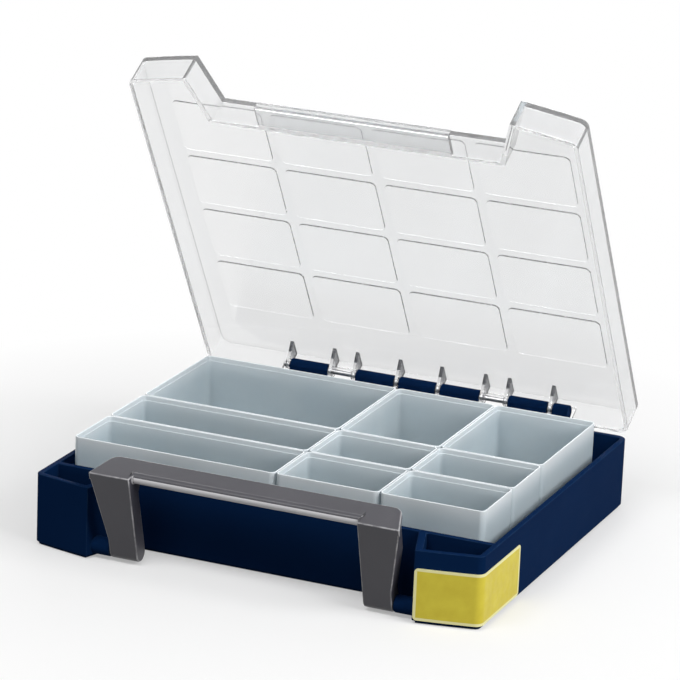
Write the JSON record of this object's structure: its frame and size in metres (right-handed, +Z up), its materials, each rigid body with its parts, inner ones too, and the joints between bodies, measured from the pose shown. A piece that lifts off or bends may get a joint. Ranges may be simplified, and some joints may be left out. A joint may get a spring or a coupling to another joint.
{
  "type": "assortment case",
  "caption": "Flat carrying case for small parts: a dark tray with lift-out bins, a clear hinged lid and a swinging front handle that latches it.",
  "frame": {"origin": "on the flat underside of the tray, on its centre line, midway between the back face and the front corners", "axes": "+Z up from the surface it stands on, +X to the right of someone facing the handle, front towards -Y"},
  "size_m": [0.242, 0.2333, 0.2339],
  "materials": {
    "tray_plastic": "fine moulded grain",
    "clear_plastic": "clear",
    "bin_plastic": "translucent satin",
    "handle_plastic": "satin",
    "pin_steel": "bright drawn",
    "label_film": "satin film"
  },
  "bodies": {
    "tray": {"base_tray": "tray_plastic", "hinge_rod": "pin_steel", "pivot_pin_left": "pin_steel", "pivot_pin_right": "pin_steel", "corner_label": "label_film"},
    "lid": {"lid": "clear_plastic"},
    "handle": {"handle": "handle_plastic"},
    "bin_rear_left": {"bin_rear_left": "bin_plastic"},
    "bin_rear_centre": {"bin_rear_centre": "bin_plastic"},
    "bin_rear_right": {"bin_rear_right": "bin_plastic"},
    "bin_middle_left": {"bin_middle_left": "bin_plastic"},
    "bin_middle_centre": {"bin_middle_centre": "bin_plastic"},
    "bin_middle_right": {"bin_middle_right": "bin_plastic"},
    "bin_front_left": {"bin_front_left": "bin_plastic"},
    "bin_front_centre": {"bin_front_centre": "bin_plastic"},
    "bin_front_right": {"bin_front_right": "bin_plastic"}
  },
  "joints": [
    {"name": "lid_hinge", "type": "hinge", "parent": "tray", "child": "lid", "pos_m": [0, 0.1045, 0.0445], "axis": [-1, 0, 0], "range_deg": [-59, 46]},
    {"name": "handle_pivot", "type": "hinge", "parent": "tray", "child": "handle", "pos_m": [0, -0.102, 0.006], "axis": [1, 0, 0], "range_deg": [-15, 75]},
    {"name": "bin_rear_left_lift", "type": "slide", "parent": "tray", "child": "bin_rear_left", "axis": [0, 0, 1], "range_m": [0, 0.055]},
    {"name": "bin_rear_centre_lift", "type": "slide", "parent": "tray", "child": "bin_rear_centre", "axis": [0, 0, 1], "range_m": [0, 0.055]},
    {"name": "bin_rear_right_lift", "type": "slide", "parent": "tray", "child": "bin_rear_right", "axis": [0, 0, 1], "range_m": [0, 0.055]},
    {"name": "bin_middle_left_lift", "type": "slide", "parent": "tray", "child": "bin_middle_left", "axis": [0, 0, 1], "range_m": [0, 0.055]},
    {"name": "bin_middle_centre_lift", "type": "slide", "parent": "tray", "child": "bin_middle_centre", "axis": [0, 0, 1], "range_m": [0, 0.055]},
    {"name": "bin_middle_right_lift", "type": "slide", "parent": "tray", "child": "bin_middle_right", "axis": [0, 0, 1], "range_m": [0, 0.055]},
    {"name": "bin_front_left_lift", "type": "slide", "parent": "tray", "child": "bin_front_left", "axis": [0, 0, 1], "range_m": [0, 0.055]},
    {"name": "bin_front_centre_lift", "type": "slide", "parent": "tray", "child": "bin_front_centre", "axis": [0, 0, 1], "range_m": [0, 0.055]},
    {"name": "bin_front_right_lift", "type": "slide", "parent": "tray", "child": "bin_front_right", "axis": [0, 0, 1], "range_m": [0, 0.055]}
  ]
}
